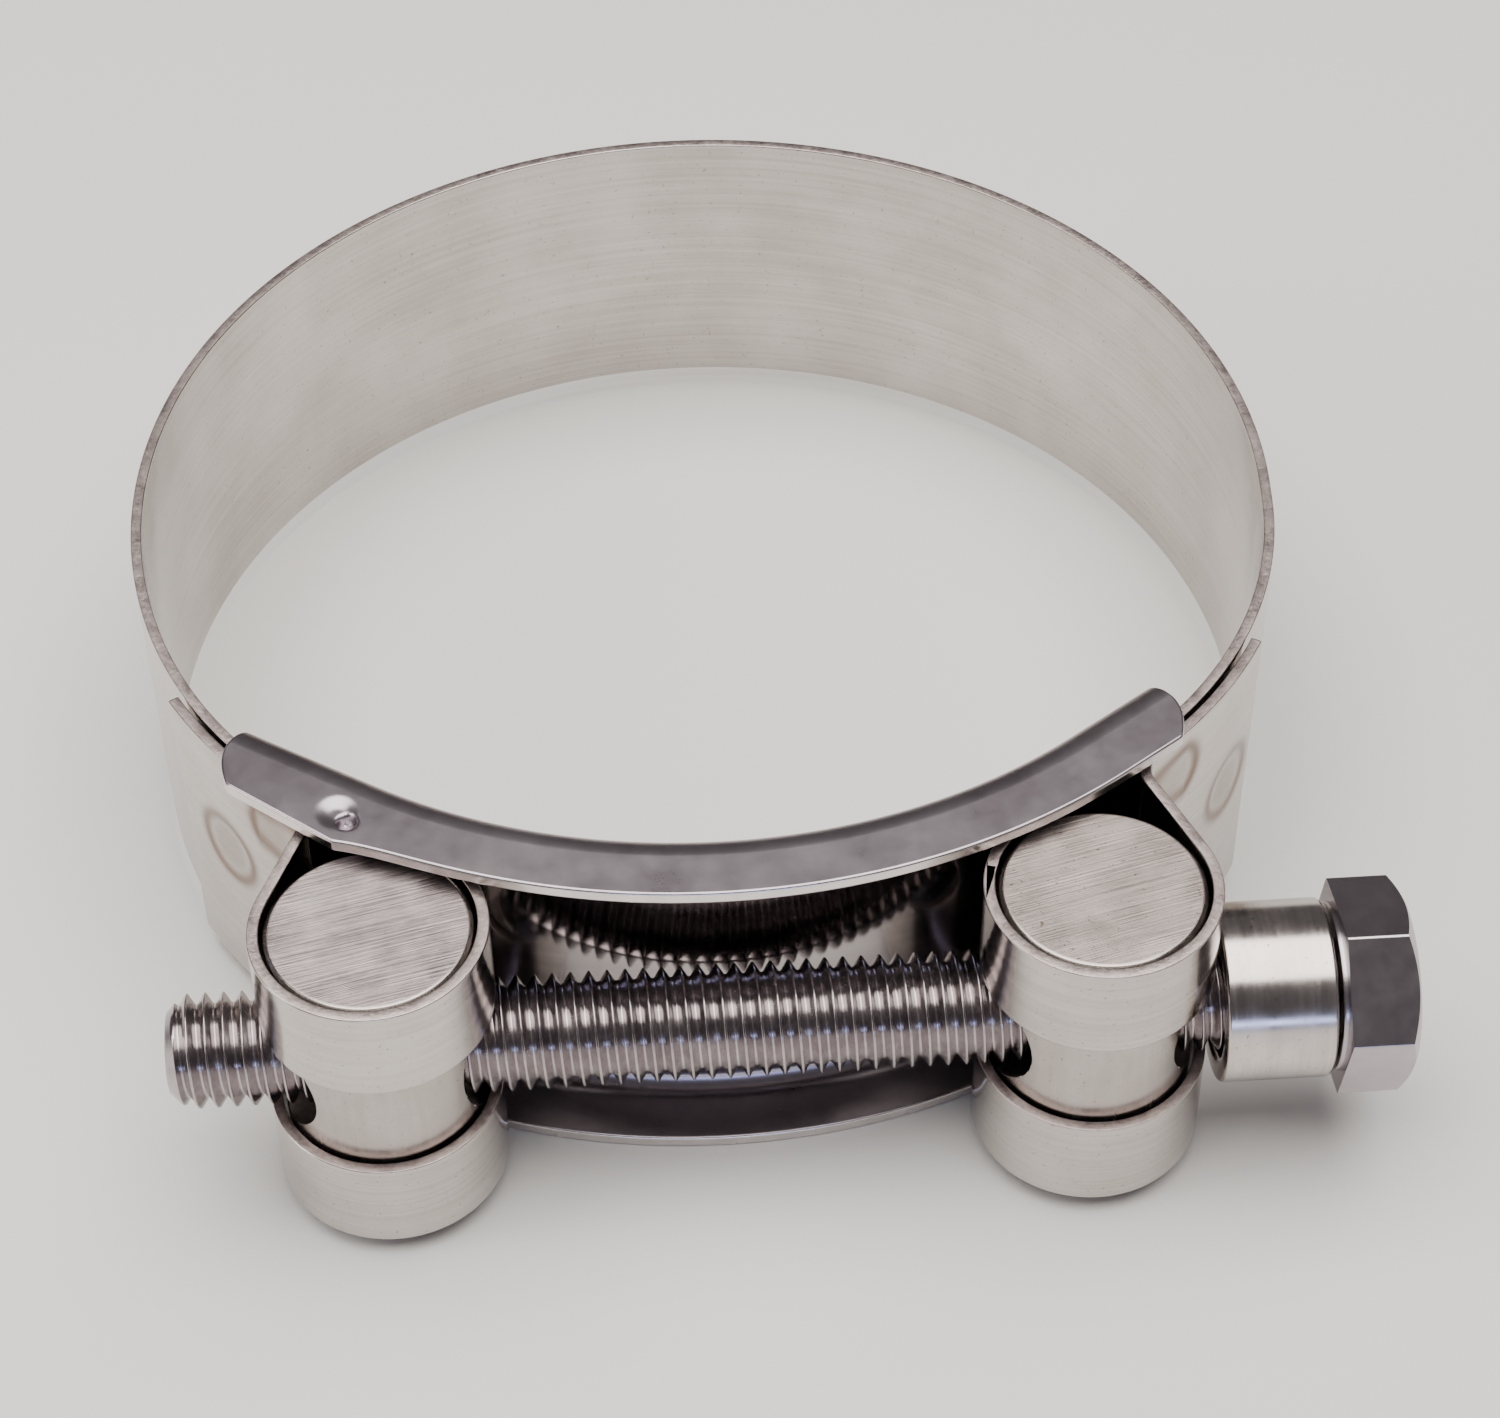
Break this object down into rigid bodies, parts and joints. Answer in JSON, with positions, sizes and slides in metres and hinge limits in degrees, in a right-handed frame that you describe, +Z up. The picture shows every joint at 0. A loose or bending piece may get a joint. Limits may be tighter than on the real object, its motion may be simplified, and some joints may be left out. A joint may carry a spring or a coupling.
{
  "type": "pipe repair clamp",
  "caption": "Stainless heavy-duty band clamp: a wide steel strip round a pipe or hose, drawn tight by a cross bolt through two trunnions, with a channel bridge under the gap.",
  "frame": {"origin": "centre of the underside of the bounding box, on the plane that the bridge plate's lower flange rests on", "axes": "+Z up along the ring's axis, across the band's width; +X along the bolt towards its head; -Y from the ring towards the bolt"},
  "size_m": [0.0882, 0.0914, 0.0274],
  "materials": {
    "band_steel": "bright cold-rolled stainless strip",
    "plate_steel": "satin pressed stainless sheet with bright sheared edges",
    "sawn_steel": "sawn and brushed ends, drawn sides",
    "bolt_steel": "rolled thread, bright cold-forged head",
    "turned_steel": "satin turned"
  },
  "bodies": {
    "back": {"band_back": "band_steel"},
    "left_arm": {"band_left_end": "band_steel", "bridge_plate": "plate_steel"},
    "right_arm": {"band_right_end": "band_steel"},
    "left_trunnion": {"threaded_trunnion": "sawn_steel"},
    "right_trunnion": {"plain_trunnion": "sawn_steel"},
    "bolt": {"hex_bolt": "bolt_steel"},
    "spacer": {"spacer_sleeve": "turned_steel"}
  },
  "joints": [
    {"name": "left_flex", "type": "hinge", "parent": "back", "child": "left_arm", "pos_m": [-0.04228, 0.01434, 0.0137], "axis": [0, 0, 1], "range_deg": [-1.43, 4.18]},
    {"name": "right_flex", "type": "hinge", "parent": "back", "child": "right_arm", "pos_m": [0.03848, 0.01434, 0.0137], "axis": [0, 0, 1], "range_deg": [-4.18, 1.43]},
    {"name": "threaded_trunnion_pivot", "type": "hinge", "parent": "left_arm", "child": "left_trunnion", "pos_m": [-0.0264, -0.03768, 0.0137], "axis": [0, 0, 1], "range_deg": [-4.18, 1.43]},
    {"name": "plain_trunnion_pivot", "type": "hinge", "parent": "right_arm", "child": "right_trunnion", "pos_m": [0.0226, -0.03768, 0.0137], "axis": [0, 0, 1], "range_deg": [-1.43, 4.18]},
    {"name": "bolt_turn", "type": "hinge", "parent": "right_trunnion", "child": "bolt", "pos_m": [0.0388, -0.03768, 0.0137], "axis": [-1, 0, 0], "range_deg": [-720, 2160]},
    {"name": "spacer_spin", "type": "hinge", "parent": "bolt", "child": "spacer", "pos_m": [0.0347, -0.03768, 0.0137], "axis": [-1, 0, 0], "continuous": true}
  ],
  "couplings": [
    {"joint": "left_flex", "follows": "bolt_turn", "ratio": 0.0019122},
    {"joint": "right_flex", "follows": "bolt_turn", "ratio": -0.0019122},
    {"joint": "threaded_trunnion_pivot", "follows": "bolt_turn", "ratio": -0.0019122},
    {"joint": "plain_trunnion_pivot", "follows": "bolt_turn", "ratio": 0.0019122}
  ]
}
